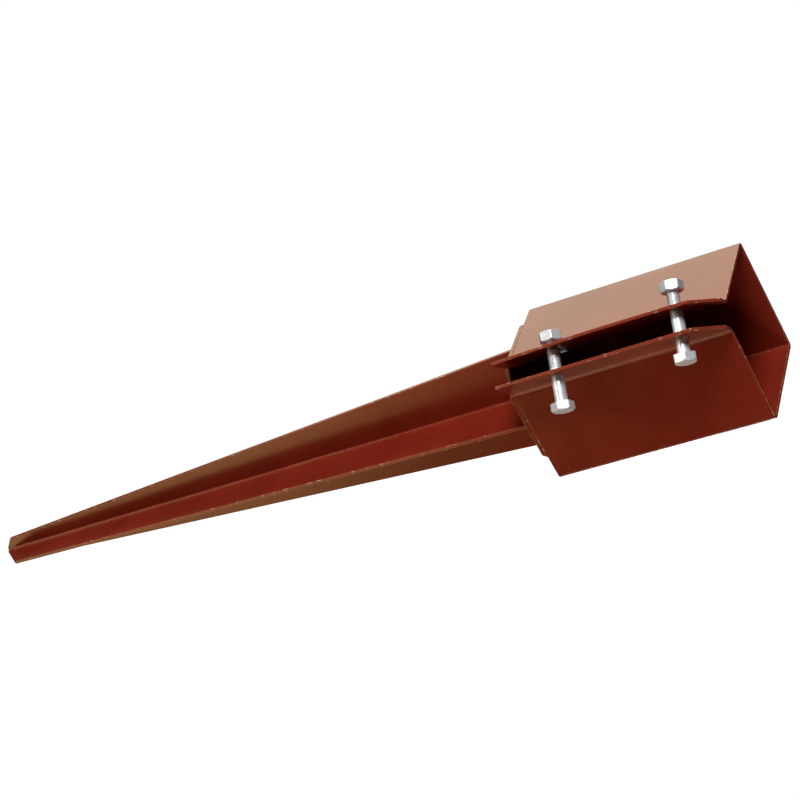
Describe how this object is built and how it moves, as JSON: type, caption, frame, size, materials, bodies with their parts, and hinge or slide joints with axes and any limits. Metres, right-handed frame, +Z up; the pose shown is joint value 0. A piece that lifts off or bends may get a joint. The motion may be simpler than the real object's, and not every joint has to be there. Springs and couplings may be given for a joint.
{
  "type": "post anchor spike",
  "caption": "Drive-in steel anchor for a square fence post: a split socket with bolted clamp flanges on a long four-finned ground spike.",
  "frame": {"origin": "middle of the post seat, which is the top face of the base plate", "axes": "+Z up the socket's axis towards its open mouth, away from the spike's point; the socket's walls face X and Y, and its split corner with the two clamp flanges lies at -X -Y"},
  "size_m": [0.1063, 0.1099, 0.597],
  "materials": {
    "red_oxide_paint": "glossy red oxide paint on folded steel",
    "painted_weld": "red oxide paint over weld beads",
    "zinc_plate": "bright zinc plate"
  },
  "bodies": {
    "spike_body": {"socket": "red_oxide_paint", "base_plate": "red_oxide_paint", "front_spike_angle": "red_oxide_paint", "rear_spike_angle": "red_oxide_paint", "seam_welds": "painted_weld", "base_welds": "painted_weld"},
    "upper_bolt": {"upper_bolt": "zinc_plate"},
    "upper_nut": {"upper_nut": "zinc_plate"},
    "lower_bolt": {"lower_bolt": "zinc_plate"},
    "lower_nut": {"lower_nut": "zinc_plate"}
  },
  "joints": [
    {"name": "upper_bolt_spin", "type": "hinge", "parent": "spike_body", "child": "upper_bolt", "pos_m": [-0.04241, -0.04241, 0.1199], "axis": [-0.7071, 0.7071, 0], "range_deg": [0, 2981]},
    {"name": "upper_nut_travel", "type": "slide", "parent": "spike_body", "child": "upper_nut", "axis": [0.7071, -0.7071, 0], "range_m": [0, 0.01035]},
    {"name": "lower_nut_spin", "type": "hinge", "parent": "spike_body", "child": "lower_nut", "pos_m": [-0.04241, -0.04241, 0.0375], "axis": [0.7071, -0.7071, 0], "range_deg": [0, 4767]},
    {"name": "lower_bolt_draw", "type": "slide", "parent": "spike_body", "child": "lower_bolt", "axis": [-0.7071, 0.7071, 0], "range_m": [0, 0.01655]}
  ],
  "couplings": [
    {"joint": "upper_bolt_spin", "follows": "upper_nut_travel", "rad_per_m": 5026.6},
    {"joint": "lower_nut_spin", "follows": "lower_bolt_draw", "rad_per_m": 5026.6}
  ]
}
